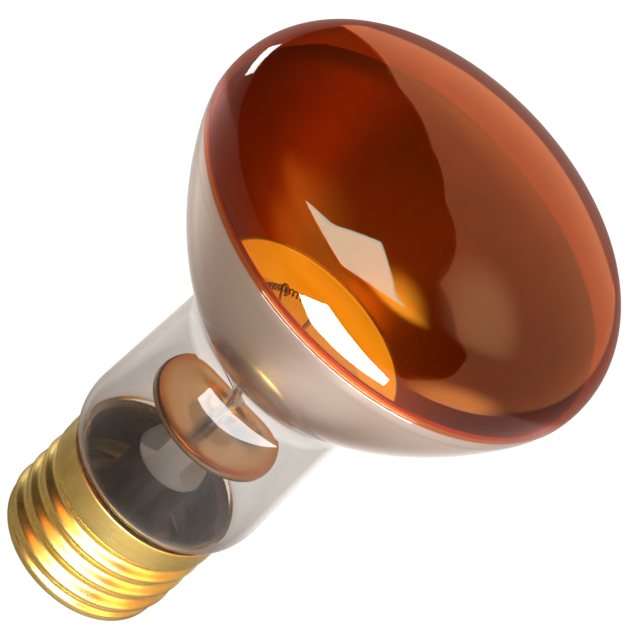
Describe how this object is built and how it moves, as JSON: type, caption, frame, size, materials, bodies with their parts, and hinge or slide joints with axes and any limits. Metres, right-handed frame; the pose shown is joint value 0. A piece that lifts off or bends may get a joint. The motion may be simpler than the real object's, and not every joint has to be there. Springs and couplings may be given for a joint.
{
  "type": "darkroom safelight lamp",
  "caption": "Reflector lamp with an amber-coated domed face, a silvered shoulder, a clear neck, and a brass medium screw base.",
  "frame": {"origin": "tip of the centre contact, on the lamp's axis, where the lamp bottoms in its holder", "axes": "+Z along the lamp's axis from the screw base to the face; the leads and the side solder lie in the YZ plane, with the side solder at +Y"},
  "size_m": [0.0634, 0.0634, 0.1],
  "materials": {
    "clear_glass": "polished",
    "mirror_coat": "vapour-deposited aluminium",
    "amber_glass": "transparent gloss coat",
    "brass": "bright",
    "black_glass": "opaque gloss",
    "solder": "satin",
    "cement": "matt",
    "deflector_aluminium": "satin",
    "nickel_wire": "satin",
    "copper_wire": "satin",
    "molybdenum_wire": "satin",
    "tungsten": "satin"
  },
  "bodies": {
    "root": {"glass_bowl": "clear_glass", "glass_neck": "clear_glass", "mirror_coat": "mirror_coat", "amber_coat": "amber_glass", "screw_shell": "brass", "base_insulator": "black_glass", "centre_contact": "brass", "centre_solder": "solder", "side_solder": "solder", "base_cement": "cement", "stem_flare": "clear_glass", "stem_press": "clear_glass", "exhaust_tube": "clear_glass", "arbor_rod": "clear_glass", "heat_deflector": "deflector_aluminium", "deflector_post_left": "nickel_wire", "deflector_post_right": "nickel_wire", "inner_lead_left": "nickel_wire", "inner_lead_right": "nickel_wire", "seal_wire_left": "copper_wire", "seal_wire_right": "copper_wire", "outer_lead_centre": "copper_wire", "outer_lead_side": "copper_wire", "fuse_link": "nickel_wire", "support_wire_left": "molybdenum_wire", "support_wire_middle": "molybdenum_wire", "support_wire_right": "molybdenum_wire", "filament": "tungsten"}
  },
  "joints": []
}
